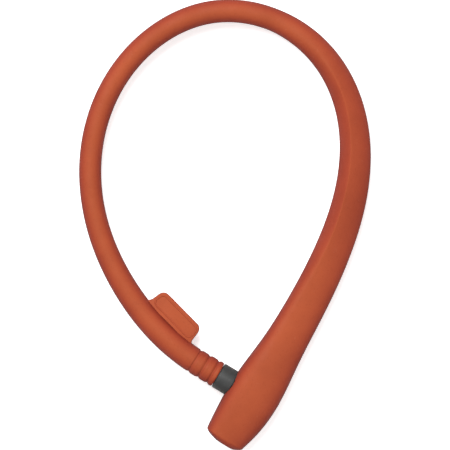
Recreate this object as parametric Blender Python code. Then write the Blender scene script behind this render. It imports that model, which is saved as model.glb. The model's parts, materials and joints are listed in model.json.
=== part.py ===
"""Silicone-jacketed cable lock, closed into its loop.

Lengths are in millimetres until an object is made; the scene is in metres, +Z up.
The lock lies flat. +Y runs along the lock head towards the cable, and the plug leaves the head
along -X. Distances called s are measured along the cable's centre line from the point where the
head's axis meets the plug's axis.
"""
import math

import bmesh
import bpy
import numpy as np
from mathutils import Vector

MM = 0.001

# ---- the loop's centre line ----
LOOP_POINTS = [
    (-0.5, 58.5), (-36, 176.5), (-85.5, 203.5), (-145, 185.5), (-170.5, 107.5), (-123, 30),
    (-45.5, 0.5),
]
STRAIGHT_X = -38.0        # from here to the head the line is straight
PLUG_X = -25.0            # where the cable's sleeve ends against the plug's collar

# ---- cable ----
CABLE_R = 6.8             # jacket
CORE_R = 4.0              # steel rope
BORE_R = 4.3              # hole in the jacket for the rope
PLUG_END_R = 7.8          # jacket beside the collar
LINKS = 12
FIRST_BEND = 60.0         # s of the first joint
LAST_BEND = 505.0         # s of the last joint
LINK_GAP = 0.6
JACKET_FACETS = 16
ROPE_FACETS = 10

# ---- sleeve end: plain stretch with the tab, then three ribs beside the collar ----
TAB_STATIONS = [527, 537, 547, 557, 567]
TAB_ROOT = 6.0            # distances from the centre line towards the loop's inside
TAB_TIP = 18.7
TAB_HALF_THICKNESS = 2.2
TAB_CORNER_R = 3.5
TAB_CORNERS = (530.8, 560.8)  # s of the middles of its two rounded corners
RIB_START = 19.0          # distance back from the collar
END_GAP = 0.3
RIBS = [                  # distance back from the collar, radius
    (17.6, 7.75), (16.8, 7.2), (15.6, 7.8), (14.9, 7.95), (11.9, 7.95), (11.0, 7.7), (10.1, 7.2),
    (9.1, 7.85), (8.4, 8.05), (5.4, 8.05), (4.6, 7.8), (3.7, 7.2), (2.8, 8.0), (2.2, 8.17),
    (END_GAP + 0.3, 8.17), (END_GAP, 7.9),
]

# ---- lock head ----
HEAD_HALF_WIDTH = 16.0
HEAD_HALF_DEPTH = 13.0
END_CORNER = -30.3        # s where the end starts to round over
END_LEAN = 1.6            # how far the end's middle lies towards the plug side
KEY_OPENING_R = 6.4
OPENING_RIM = -34.3
JACKET_WALL = 2.3
FIT_GAP = 0.3             # between pieces that sit in one another
HOUSING_END = 24.0
HEAD_FACETS = 24
HEAD_STATIONS = (-20, -10, 0, 10, 20, 30, 40, 50, 60, 68)
CAVITY_STATIONS = (10, 0, -10, -20)
HOUSING_STATIONS = (-31.4, -20, -10, 0, 10, 18)
HEAD_ROPE_STATIONS = [31.5, 45.0, 60.0, 68.0]
DOME = ((3.3, 0.6), (2.4, 0.3), (1.3, 0.1), (0.4, 0.02))  # drop past the corner, share of the opening
BARREL_PIN_Y = -25.0
FERRULE_PIN_Y = 11.6

# ---- key cylinder, cam and bolt, all on the Y axis ----
BARREL_R = 7.0
BARREL_FACE = -31.7
BARREL_BACK = -19.5
KEY_PLUG_R = 4.4
KEYWAY_WIDTH = 1.8
KEYWAY_HEIGHT = 6.4
TAIL_R = 2.0
CLIP_R = 2.75
CAM_R = 5.5
CAM_FOOT = -19.2
CAM_LOW = -17.4
BOLT_STROKE = 2.2
BOLT_FOOT = -14.7
BOLT_FLANGE = 4.0         # half of its square flange
BOLT_FLANGE_TOP = -12.9
BOLT_NOSE_R = 2.0
BOLT_TIP = -5.5
POCKET_END = -7.6

# ---- plug and socket, both on the X axis ----
PIN_R = 5.0
PIN_NECK_R = 3.0
PIN_NECK = 2.8            # half of the groove's length, centred on the head's axis
PIN_TIP = 8.0
BUSH_BORE_R = 5.3
BUSH_R = 6.3
SOCKET_END = 9.0
COLLAR_R = 8.25
COLLAR_FACE = -14.9
FERRULE_R = 5.5
SHANK_END = -30.8
CROSS_PIN_X = -28.0
PLUG_FERRULE_END = -37.5

# ---- colours: base colour, roughness, metallic ----
FINISHES = {
    "silicone": ((0.50, 0.10, 0.045), 0.60, 0.0),
    "steel": ((0.55, 0.56, 0.57), 0.30, 1.0),
    "zinc": ((0.42, 0.43, 0.44), 0.50, 1.0),
    "brass": ((0.72, 0.53, 0.22), 0.35, 1.0),
    "collar_grey": ((0.09, 0.09, 0.09), 0.45, 0.0),
    "seal_rubber": ((0.03, 0.03, 0.03), 0.75, 0.0),
}


# ---------------------------------------------------------------- centre line

def spline_slopes(knots, values, first, last):
    """Slopes at the knots of the smooth cubic through values, with the two end slopes given."""
    count = len(knots)
    step = np.diff(knots)
    rise = np.diff(values) / step
    system = np.eye(count)
    right = np.zeros(count)
    right[0] = first
    right[-1] = last
    for k in range(1, count - 1):
        system[k, k - 1:k + 2] = step[k], 2 * (step[k - 1] + step[k]), step[k - 1]
        right[k] = 3 * (step[k] * rise[k - 1] + step[k - 1] * rise[k])
    return np.linalg.solve(system, right)


def loop_line(samples=120):
    """The centre line as distances s and points, from the head's axis to its straight end."""
    points = np.array([(0.0, 0.0)] + LOOP_POINTS + [(STRAIGHT_X, 0.0)], dtype=float)
    knots = np.concatenate([[0.0], np.cumsum(np.linalg.norm(np.diff(points, axis=0), axis=1))])
    slopes = np.column_stack([
        spline_slopes(knots, points[:, 0], 0.0, 1.0),
        spline_slopes(knots, points[:, 1], 1.0, 0.0),
    ])
    line = []
    for k in range(len(points) - 1):
        step = knots[k + 1] - knots[k]
        for t in np.linspace(0, 1, samples, endpoint=False):
            line.append(
                (2 * t**3 - 3 * t**2 + 1) * points[k] + (t**3 - 2 * t**2 + t) * step * slopes[k]
                + (3 * t**2 - 2 * t**3) * points[k + 1] + (t**3 - t**2) * step * slopes[k + 1]
            )
    line = np.array(line + [points[-1]])
    distance = np.concatenate([[0.0], np.cumsum(np.linalg.norm(np.diff(line, axis=0), axis=1))])
    return distance, line


LINE_S, LINE_XY = loop_line()
STRAIGHT_S = float(LINE_S[-1])
PLUG_S = STRAIGHT_S + PLUG_X - STRAIGHT_X


def at(s):
    """The centre line's point at s; it runs on straight past both ends."""
    if s < 0:
        return Vector((0.0, s, 0.0))
    if s > STRAIGHT_S:
        return Vector((STRAIGHT_X + s - STRAIGHT_S, 0.0, 0.0))
    return Vector((np.interp(s, LINE_S, LINE_XY[:, 0]), np.interp(s, LINE_S, LINE_XY[:, 1]), 0.0))


def heading(s):
    """Unit vector along the centre line at s."""
    return (at(s + 0.5) - at(s - 0.5)).normalized()


def outward(s):
    """Unit vector in the loop's plane, at right angles to the line, away from the loop's inside."""
    ahead = heading(s)
    return Vector((ahead.y, -ahead.x, 0.0))


# ---------------------------------------------------------------- section sizes along the line

def half_width(s):
    if s < 4:
        return HEAD_HALF_WIDTH - 3.3 * (min(s, 0.0) / 30.5) ** 2
    taper = CABLE_R + 0.2 + 0.0252 * max(0.0, 264 - s) + 2.35 * math.exp(-((s - 4) / 25) ** 2)
    swell = (PLUG_END_R - CABLE_R) * smooth((s - 440) / 120)
    return taper - 0.2 * smooth((s - 264) / 100) + swell


def half_depth(s):
    if s < 4:
        return HEAD_HALF_DEPTH - 2.3 * (min(s, 0.0) / 30.5) ** 2
    taper = CABLE_R + 2.9 * max(0.0, 1 - s / 264) + 3.3 * math.exp(-((s - 4) / 30) ** 2)
    return taper + (PLUG_END_R - CABLE_R) * smooth((s - 440) / 120)


def squareness(s):
    """Exponent of the section's superellipse: 2 is an ellipse."""
    return 2 + 0.8 * math.exp(-(max(s, 0.0) / 45) ** 2)


def smooth(t):
    t = min(max(t, 0.0), 1.0)
    return t * t * (3 - 2 * t)


# ---------------------------------------------------------------- rings of points

def oval(width, depth, power, count):
    """Points of a superellipse as (across, up)."""
    points = []
    for k in range(count):
        angle = 2 * math.pi * (k + 0.5) / count
        c, u = math.cos(angle), math.sin(angle)
        points.append((
            width * math.copysign(abs(c) ** (2 / power), c),
            depth * math.copysign(abs(u) ** (2 / power), u),
        ))
    return points


def section(s, width, depth, power=2.0, count=JACKET_FACETS, shift=0.0):
    """A ring square to the centre line at s."""
    centre = at(s) + outward(s) * shift
    side = outward(s)
    return [centre + side * a + Vector((0, 0, u)) for a, u in oval(width, depth, power, count)]


def knuckle(s, radius, width, depth, power=2.0, count=JACKET_FACETS):
    """A ring on the upright cylinder of this radius about the joint at s, on its far side."""
    ring = []
    for a, u in oval(width, depth, power, count):
        reach = math.sqrt(radius**2 - a**2)
        ring.append(at(s) + heading(s) * reach + outward(s) * a + Vector((0, 0, u)))
    return ring


def circle(axis, along, radius, count=24):
    """A ring round the X, Y or Z axis, turning the same way for a growing place along it."""
    ring = []
    for k in range(count):
        angle = 2 * math.pi * (k + 0.5) / count
        a, b = radius * math.cos(angle), radius * math.sin(angle)
        ring.append(Vector({"X": (along, a, b), "Y": (b, along, a), "Z": (a, b, along)}[axis]))
    return ring


def moved(ring, x=0.0, y=0.0, z=0.0):
    return [p + Vector((x, y, z)) for p in ring]


# ---------------------------------------------------------------- objects

def material(name):
    if name in bpy.data.materials:
        return bpy.data.materials[name]
    colour, roughness, metallic = FINISHES[name]
    made = bpy.data.materials.new(name)
    made.use_nodes = True
    shader = made.node_tree.nodes["Principled BSDF"]
    shader.inputs["Base Color"].default_value = (*colour, 1.0)
    shader.inputs["Roughness"].default_value = roughness
    shader.inputs["Metallic"].default_value = metallic
    return made


def mesh_object(name, bm, finish):
    """An object from a bmesh in millimetres, faces outward, smooth where it is round."""
    bmesh.ops.recalc_face_normals(bm, faces=bm.faces)
    if bm.calc_volume(signed=True) < 0:
        bmesh.ops.reverse_faces(bm, faces=bm.faces)
    bmesh.ops.scale(bm, vec=(MM, MM, MM), verts=bm.verts)
    mesh = bpy.data.meshes.new(name)
    bm.to_mesh(mesh)
    bm.free()
    mesh.shade_smooth()
    mesh.set_sharp_from_angle(angle=math.radians(40))
    made = bpy.data.objects.new(name, mesh)
    bpy.context.collection.objects.link(made)
    if finish:
        mesh.materials.append(material(finish))
    return made


def skin(bm, rings, closed=False, first_centre=None, last_centre=None):
    """Faces between rings in turn. A closed skin joins the last ring to the first; an open one is
    capped, by a fan where the cap's centre is given."""
    loops = [[bm.verts.new(p) for p in ring] for ring in rings]
    count = len(loops[0])
    pairs = list(zip(loops, loops[1:]))
    if closed:
        pairs.append((loops[-1], loops[0]))
    for low, high in pairs:
        for k in range(count):
            after = (k + 1) % count
            bm.faces.new((low[k], low[after], high[after], high[k]))
    if closed:
        return
    for loop, centre in ((loops[0], first_centre), (loops[-1], last_centre)):
        if centre is None:
            bm.faces.new(loop)
            continue
        middle = bm.verts.new(centre)
        for k in range(count):
            bm.faces.new((loop[k], loop[(k + 1) % count], middle))


def lofted(name, rings, finish, closed=False, first_centre=None, last_centre=None):
    bm = bmesh.new()
    skin(bm, rings, closed, first_centre, last_centre)
    return mesh_object(name, bm, finish)


def turned(name, axis, profile, finish, closed=False, count=20):
    """A solid turned round an axis from a profile of (place along the axis, radius)."""
    return lofted(name, [circle(axis, a, r, count) for a, r in profile], finish, closed)


def block(name, low, high, finish=None):
    """A box between two corners."""
    bm = bmesh.new()
    bmesh.ops.create_cube(bm, size=1)
    low, high = Vector(low), Vector(high)
    for v in bm.verts:
        v.co = Vector([(lo + hi) / 2 + c * (hi - lo) for lo, hi, c in zip(low, high, v.co)])
    return mesh_object(name, bm, finish)


def rod(name, axis, start, end, radius, centre=(0, 0, 0), finish=None, count=12):
    """A plain cylinder parallel to an axis."""
    rings = [moved(circle(axis, a, radius, count), *centre) for a in (start, end)]
    return lofted(name, rings, finish)


def combine(target, tool, operation="DIFFERENCE"):
    """Cut or join another object with a Boolean modifier; the tool stays as a guide."""
    modifier = target.modifiers.new(tool.name, "BOOLEAN")
    modifier.operation = operation
    modifier.solver = "EXACT"
    modifier.object = tool
    tool.hide_render = True
    tool.display_type = "WIRE"


# ---------------------------------------------------------------- lock head

def head_ring(s, inset=0.0):
    """The head's section at s, shrunk all round by inset; its lower end leans to the plug side."""
    lean = END_LEAN * (min(s, 0.0) / 30) ** 2
    return section(
        s, half_width(s) - inset, half_depth(s) - inset, squareness(s), HEAD_FACETS, shift=-lean)


def end_ring(s, share):
    """A ring of the head's domed end: share 0 is the head's section, 1 the key opening."""
    width = half_width(END_CORNER) + share * (KEY_OPENING_R - half_width(END_CORNER))
    depth = half_depth(END_CORNER) + share * (KEY_OPENING_R - half_depth(END_CORNER))
    power = 2.8 - 0.8 * share
    return section(s, width, depth, power, HEAD_FACETS, shift=-END_LEAN * (1 - share))


def head_jacket():
    """Silicone skin over the housing, open at the key end and at the socket."""
    outside = [head_ring(s) for s in HEAD_STATIONS]
    rim = FIRST_BEND
    radius = joint_radius(rim)
    end_face = [
        knuckle(rim, radius, half_width(rim), half_depth(rim), squareness(rim), HEAD_FACETS),
        knuckle(rim, radius, BORE_R, BORE_R, 2.0, HEAD_FACETS),
    ]
    cavity = [section(s, BORE_R, BORE_R, 2.0, HEAD_FACETS) for s in reversed(HEAD_ROPE_STATIONS)]
    ferrule_bore = FERRULE_R + 0.4
    cavity += [section(s, ferrule_bore, ferrule_bore, 2.0, HEAD_FACETS) for s in (31, 24.8)]
    cavity += [head_ring(s, JACKET_WALL) for s in (HOUSING_END + FIT_GAP,) + CAVITY_STATIONS]
    cavity.append(head_ring(BARREL_FACE - FIT_GAP, JACKET_WALL))
    opening = [end_ring(BARREL_FACE - FIT_GAP, 1), end_ring(OPENING_RIM, 1)]
    dome = [end_ring(END_CORNER - drop, share) for drop, share in DOME]
    jacket = lofted(
        "head_jacket", outside + end_face + cavity + opening + dome, "silicone", closed=True)
    combine(jacket, rod("socket_mouth_guide", "X", -20, -10, COLLAR_R + 0.35, count=32))
    return jacket


def lock_housing():
    """Die-cast body with the socket, the cylinder's bore, the bolt's channel and the cable's hole."""
    rings = [head_ring(s, JACKET_WALL + FIT_GAP) for s in HOUSING_STATIONS + (HOUSING_END,)]
    housing = lofted("lock_housing", rings, "zinc")
    combine(housing, rod("barrel_bore_guide", "Y", -33, -14.9, BARREL_R + FIT_GAP, count=24))
    side = BOLT_FLANGE + FIT_GAP
    combine(housing, block("bolt_pocket_guide", (-side, -15.5, -side), (side, POCKET_END, side)))
    combine(housing, rod("bolt_nose_guide", "Y", -8.5, 0, BOLT_NOSE_R + 0.35, count=16))
    combine(housing, rod("socket_guide", "X", -16, SOCKET_END, BUSH_R + FIT_GAP, count=24))
    combine(housing, rod("cable_hole_guide", "Y", 9.1, 26, FERRULE_R + FIT_GAP, count=24))
    combine(housing, rod("barrel_pin_guide", "X", 6, 14, 1.3, (0, BARREL_PIN_Y, 0)))
    combine(housing, rod("ferrule_pin_guide", "Z", -7.4, 7.4, 1.55, (0, FERRULE_PIN_Y, 0)))
    return housing


def cylinder_barrel():
    """Fixed outer part of the key cylinder."""
    bore = KEY_PLUG_R + FIT_GAP
    barrel = turned("cylinder_barrel", "Y", [
        (BARREL_FACE, bore), (BARREL_FACE, BARREL_R - 0.4), (BARREL_FACE + 0.4, BARREL_R),
        (BARREL_BACK, BARREL_R), (BARREL_BACK, bore),
    ], "zinc", closed=True)
    combine(barrel, rod("barrel_pin_hole_guide", "X", 5.2, 9, 1.3, (0, BARREL_PIN_Y, 0)))
    return barrel


def cylinder_plug():
    """The part the key turns: keyway in front, tail for the cam behind."""
    plug = turned("cylinder_plug", "Y", [
        (BARREL_FACE + 0.2, KEY_PLUG_R - 0.3), (BARREL_FACE + 0.5, KEY_PLUG_R),
        (BARREL_BACK, KEY_PLUG_R), (BARREL_BACK, TAIL_R), (-16.5, TAIL_R),
    ], "brass")
    across, up = KEYWAY_WIDTH / 2, KEYWAY_HEIGHT / 2
    combine(plug, block("keyway_guide", (-across, -34, -up), (across, -21.5, up)))
    return plug


def cam_height(degrees):
    """Rise of the cam's track, twice round: a straight ramp, a short top and a steep drop."""
    turn = degrees % 180
    if turn <= 90:
        return BOLT_STROKE * turn / 90
    if turn <= 108:
        return BOLT_STROKE
    return BOLT_STROKE * max(0.0, 1 - (turn - 108) / 20)


def lock_cam():
    """Disc on the cylinder's tail whose two ramps push the bolt as the key turns."""
    count = 36
    track_inner = 2.95

    def ring(radius, height):
        points = []
        for k in range(count):
            degrees = 360 * k / count
            angle = math.radians(degrees)
            rise = cam_height(-degrees) if height == "track" else 0.0
            along = CAM_FOOT if height == "foot" else CAM_LOW + rise
            points.append(Vector((radius * math.sin(angle), along, radius * math.cos(angle))))
        return points

    rings = [
        ring(TAIL_R + FIT_GAP, "foot"), ring(CAM_R, "foot"), ring(CAM_R, "track"),
        ring(track_inner + 0.05, "track"), ring(track_inner, "low"),
        ring(TAIL_R + FIT_GAP, "low"),
    ]
    return lofted("lock_cam", rings, "steel", closed=True)


def cam_clip():
    """Spring clip on the tail that keeps the cam and the cylinder together."""
    return turned("cam_clip", "Y", [
        (CAM_LOW + FIT_GAP, TAIL_R + 0.15), (CAM_LOW + FIT_GAP, CLIP_R),
        (CAM_LOW + 0.8, CLIP_R), (CAM_LOW + 0.8, TAIL_R + 0.15),
    ], "steel", closed=True, count=16)


def locking_bolt():
    """Square-flanged bolt: two feet ride on the cam and the nose enters the pin's groove."""
    bm = bmesh.new()
    flange = BOLT_FLANGE

    def square(y, half):
        """A square ring whose points match a circle of 24 by direction."""
        points = []
        for p in circle("Y", y, 1.0):
            reach = half / max(abs(p.x), abs(p.z))
            points.append(Vector((p.x * reach, y, p.z * reach)))
        return points

    skin(bm, [
        square(BOLT_FOOT, flange), square(BOLT_FLANGE_TOP, flange),
        circle("Y", BOLT_FLANGE_TOP, BOLT_NOSE_R), circle("Y", BOLT_TIP - 0.4, BOLT_NOSE_R),
        circle("Y", BOLT_TIP, BOLT_NOSE_R - 0.4),
    ])
    bolt = mesh_object("locking_bolt", bm, "steel")
    foot_gap = 0.55
    for side in (-1, 1):
        foot = block(
            f"bolt_foot_guide_{'low' if side < 0 else 'high'}",
            (-0.9, CAM_LOW + foot_gap, min(side * 3.1, side * 3.95)),
            (0.9, BOLT_FOOT + 0.5, max(side * 3.1, side * 3.95)))
        combine(bolt, foot, "UNION")
    return bolt


def bolt_spring():
    """Coil round the bolt's nose that pushes it back off the pin."""
    turns, wire, coil, facets = 3, 0.25, 2.85, 10
    low, high = BOLT_FLANGE_TOP + wire + 0.15, POCKET_END - wire - 0.15
    steps = turns * facets
    rings = []
    for k in range(steps + 1):
        angle = 2 * math.pi * k / facets
        out = Vector((math.sin(angle), 0, math.cos(angle)))
        centre = out * coil + Vector((0, low + (high - low) * k / steps, 0))
        rings.append([
            centre + out * wire * math.cos(a) + Vector((0, wire * math.sin(a), 0))
            for a in (math.pi * c / 3 for c in range(6))
        ])
    return lofted("bolt_spring", rings, "steel")


def socket_bush():
    """Steel liner of the socket, with a window for the bolt's nose."""
    bush = turned("socket_bush", "X", [
        (-12.5, BUSH_BORE_R + 0.4), (-12.1, BUSH_BORE_R), (SOCKET_END - 0.3, BUSH_BORE_R),
        (SOCKET_END - 0.3, BUSH_R), (-12.5, BUSH_R),
    ], "steel", closed=True)
    combine(bush, rod("bolt_window_guide", "Y", -8, 0, BOLT_NOSE_R + 0.35, count=16))
    return bush


def socket_seal():
    """Rubber ring between the housing and the collar."""
    return turned("socket_seal", "X", [
        (COLLAR_FACE + 0.25, PIN_R + 0.5), (COLLAR_FACE + 0.25, 7.6),
        (-13.65, 7.6), (-13.65, PIN_R + 0.5),
    ], "seal_rubber", closed=True)


def barrel_pin():
    return rod("barrel_pin", "X", 5.5, 9.6, 1.0, (0, BARREL_PIN_Y, 0), "steel")


def head_ferrule():
    """Swaged end of the steel rope inside the head."""
    ferrule = turned("head_ferrule", "Y", [
        (9.4, FERRULE_R), (30.4, FERRULE_R), (30.4, BORE_R), (14.0, BORE_R),
    ], "steel")
    combine(ferrule, rod("head_ferrule_hole_guide", "Z", -7, 7, 1.5, (0, FERRULE_PIN_Y, 0)))
    return ferrule


def head_ferrule_pin():
    return rod("head_ferrule_pin", "Z", -7.0, 7.0, 1.25, (0, FERRULE_PIN_Y, 0), "steel")


# ---------------------------------------------------------------- cable

def bend_places():
    """s of each joint of the cable."""
    return [FIRST_BEND + k * (LAST_BEND - FIRST_BEND) / (LINKS - 1) for k in range(LINKS)]


def joint_radius(s):
    """Radius of the curved joint face about the joint at s."""
    return 1.25 * half_width(s) + 1


def jacket_ring(s):
    return section(s, half_width(s), half_depth(s), squareness(s))


def sleeve_start(s):
    """Hollow curved face round the joint at s, from the jacket's bore out to its surface."""
    radius = joint_radius(s) + LINK_GAP
    rings = []
    for share in (0.0, 0.35, 0.7, 1.0):
        width = BORE_R + share * (half_width(s) - BORE_R)
        depth = BORE_R + share * (half_depth(s) - BORE_R)
        power = 2 + share * (squareness(s) - 2)
        rings.append(knuckle(s, radius, width, depth, power))
    return rings


def link_stations(start, end):
    """Where the jacket and the rope of a link have their rings, clear of both joint faces."""
    margin = 3.0
    low = start + joint_radius(start) + LINK_GAP + margin
    high = end + joint_radius(end) - margin
    return [low + (high - low) * share for share in (0.0, 0.5, 1.0)]


def sleeve_link(number, start, end):
    """Piece of the silicone jacket between the joints at start and end."""
    radius = joint_radius(end)
    stations = link_stations(start, end)
    rings = sleeve_start(start)
    rings += [jacket_ring(s) for s in stations]
    rings.append(knuckle(end, radius, half_width(end), half_depth(end), squareness(end)))
    rings.append(knuckle(end, radius, BORE_R, BORE_R))
    rings += [section(s, BORE_R, BORE_R) for s in reversed(stations)]
    return lofted(f"sleeve_link_{number:02d}", rings, "silicone", closed=True)


def rope_link(name, stations, start=None, end=None):
    """Piece of the steel rope through the stations; an end at a joint is curved round it."""
    rings = [section(s, CORE_R, CORE_R, 2.0, ROPE_FACETS) for s in stations]
    first_centre = last_centre = None
    if start is not None:
        radius = joint_radius(start) + LINK_GAP
        rings.insert(0, knuckle(start, radius, CORE_R, CORE_R, 2.0, ROPE_FACETS))
        first_centre = at(start) + heading(start) * radius
    if end is not None:
        radius = joint_radius(end)
        rings.append(knuckle(end, radius, CORE_R, CORE_R, 2.0, ROPE_FACETS))
        last_centre = at(end) + heading(end) * radius
    return lofted(name, rings, "steel", False, first_centre, last_centre)


def label_tab():
    """Flat tab moulded on the inside of the loop, as an outline raised to its thickness."""
    first, last = TAB_CORNERS
    flare = TAB_ROOT + 2.8
    outline = [(first - 6.3, TAB_ROOT), (first - 4.3, flare)]
    for s, turn in ((first, 90), (last, 0)):
        for k in range(5):
            angle = math.radians(turn + 90 - 22.5 * k)
            across = TAB_TIP - TAB_CORNER_R + TAB_CORNER_R * math.sin(angle)
            outline.append((s + TAB_CORNER_R * math.cos(angle), across))
    outline += [(last + 3.4, flare - 0.8), (last + 4.2, TAB_ROOT)]
    rings = [
        [at(s) - outward(s) * a + Vector((0, 0, z)) for s, a in outline]
        for z in (-TAB_HALF_THICKNESS, TAB_HALF_THICKNESS)
    ]
    return lofted("label_tab_guide", rings, "silicone")


def end_stations():
    """Where the last piece of the jacket and of the rope have their rings."""
    return [LAST_BEND + joint_radius(LAST_BEND) + 3] + TAB_STATIONS


def end_sleeve():
    """Last piece of the jacket: the label tab, then three ribs beside the collar."""
    rings = sleeve_start(LAST_BEND)
    rings += [jacket_ring(s) for s in end_stations() + [PLUG_S - RIB_START]]
    rings += [section(PLUG_S - back, r, r) for back, r in RIBS]
    ferrule_bore = FERRULE_R + FIT_GAP
    ferrule_length = PLUG_X - PLUG_FERRULE_END + FIT_GAP
    for back, radius in (
            (END_GAP, ferrule_bore), (ferrule_length, ferrule_bore), (ferrule_length + 0.2, BORE_R)):
        rings.append(section(PLUG_S - back, radius, radius))
    rings += [section(s, BORE_R, BORE_R) for s in reversed(end_stations())]
    sleeve = lofted(f"sleeve_link_{LINKS:02d}", rings, "silicone", closed=True)
    combine(sleeve, label_tab(), "UNION")
    return sleeve


# ---------------------------------------------------------------- plug

def plug_collar():
    """Grey collar between the cable's sleeve and the head."""
    return turned("plug_collar", "X", [
        (PLUG_X, PIN_R + FIT_GAP), (PLUG_X, COLLAR_R - 0.35), (PLUG_X + 0.35, COLLAR_R),
        (COLLAR_FACE - 0.35, COLLAR_R), (COLLAR_FACE, COLLAR_R - 0.35),
        (COLLAR_FACE, PIN_R + FIT_GAP),
    ], "collar_grey", closed=True, count=32)


def plug_pin():
    """Steel pin: shank in the ferrule, groove for the bolt and a rounded nose."""
    profile = [
        (SHANK_END, PIN_NECK_R), (PLUG_X, PIN_NECK_R), (PLUG_X, PIN_R),
        (-PIN_NECK, PIN_R), (-PIN_NECK, PIN_NECK_R), (PIN_NECK, PIN_NECK_R), (PIN_NECK, PIN_R),
    ]
    nose = 3.5
    for k in range(5):
        angle = math.radians(22.5 * k)
        profile.append((PIN_TIP - nose + nose * math.sin(angle), 1.8 + (PIN_R - 1.8) * math.cos(angle)))
    pin = turned("plug_pin", "X", profile, "steel")
    combine(pin, rod("plug_pin_hole_guide", "Z", -7, 7, 1.3, (CROSS_PIN_X, 0, 0)))
    return pin


def plug_ferrule():
    """Tube that joins the steel rope to the pin's shank inside the ribbed sleeve."""
    shank_bore = PIN_NECK_R + FIT_GAP
    ferrule = turned("plug_ferrule", "X", [
        (PLUG_FERRULE_END, BORE_R), (PLUG_FERRULE_END, FERRULE_R), (PLUG_X - FIT_GAP, FERRULE_R),
        (PLUG_X - FIT_GAP, shank_bore), (SHANK_END, shank_bore), (SHANK_END, BORE_R),
    ], "steel", closed=True)
    combine(ferrule, rod("plug_ferrule_hole_guide", "Z", -7, 7, 1.3, (CROSS_PIN_X, 0, 0)))
    return ferrule


def plug_ferrule_pin():
    return rod("plug_ferrule_pin", "Z", -5.3, 5.3, 1.0, (CROSS_PIN_X, 0, 0), "steel")


# ---------------------------------------------------------------- assembly

def empty(name, place, parent):
    """An empty at a place given in the lock's own frame; the parent's place is taken off."""
    made = bpy.data.objects.new(name, None)
    made.empty_display_size = 0.01
    bpy.context.collection.objects.link(made)
    made.parent = parent
    made["place"] = tuple(Vector(place) * MM)
    own = Vector(made["place"])
    made.location = own - Vector(parent["place"]) if parent else own
    return made


def mount_on(pivot, *pieces):
    """Hang pieces, and the guides their modifiers use, on a pivot without moving them."""
    for piece in pieces:
        guides = [m.object for m in piece.modifiers]
        for made in [piece] + guides:
            made.location = -Vector(pivot["place"])
            made.parent = pivot


def build_head(frame):
    mount_on(
        frame, head_jacket(), lock_housing(), cylinder_barrel(), barrel_pin(), socket_bush(),
        socket_seal(), head_ferrule(), head_ferrule_pin(), bolt_spring(),
        rope_link("rope_head", [14.3] + HEAD_ROPE_STATIONS, end=FIRST_BEND))
    key_axis = empty("key_turn", (0, BARREL_FACE, 0), frame)
    mount_on(key_axis, cylinder_plug(), lock_cam(), cam_clip())
    bolt_axis = empty("bolt_slide", (0, BOLT_FOOT, 0), frame)
    mount_on(bolt_axis, locking_bolt())


def build_cable(frame):
    bends = bend_places()
    pivot = frame
    for number in range(1, LINKS):
        start, end = bends[number - 1], bends[number]
        pivot = empty(f"cable_bend_{number:02d}", at(start), pivot)
        rope = rope_link(f"rope_link_{number:02d}", link_stations(start, end), start, end)
        mount_on(pivot, sleeve_link(number, start, end), rope)
    pivot = empty(f"cable_bend_{LINKS:02d}", at(LAST_BEND), pivot)
    rope_end = PLUG_S - (PLUG_X - SHANK_END) - FIT_GAP
    rope = rope_link(f"rope_link_{LINKS:02d}", end_stations() + [rope_end], start=LAST_BEND)
    mount_on(pivot, end_sleeve(), rope, plug_collar(), plug_pin(), plug_ferrule(), plug_ferrule_pin())


def centre_on_table(frame):
    """Put the frame's zero at the middle of the lock's footprint, on the table."""
    bpy.context.view_layer.update()
    corners = [
        piece.matrix_world @ v.co
        for piece in bpy.data.objects if piece.type == "MESH" and not piece.hide_render
        for v in piece.data.vertices
    ]
    low = Vector([min(c[k] for c in corners) for k in range(3)])
    high = Vector([max(c[k] for c in corners) for k in range(3)])
    frame.location = Vector((-(low.x + high.x) / 2, -(low.y + high.y) / 2, -low.z))


for leftover in list(bpy.data.objects):
    bpy.data.objects.remove(leftover, do_unlink=True)
lock_frame = empty("lock_frame", (0, 0, 0), None)
build_head(lock_frame)
build_cable(lock_frame)
centre_on_table(lock_frame)
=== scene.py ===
import json
import math

import bmesh
import bpy
import numpy as np
from mathutils import Matrix, Vector
from mathutils.bvhtree import BVHTree

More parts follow.
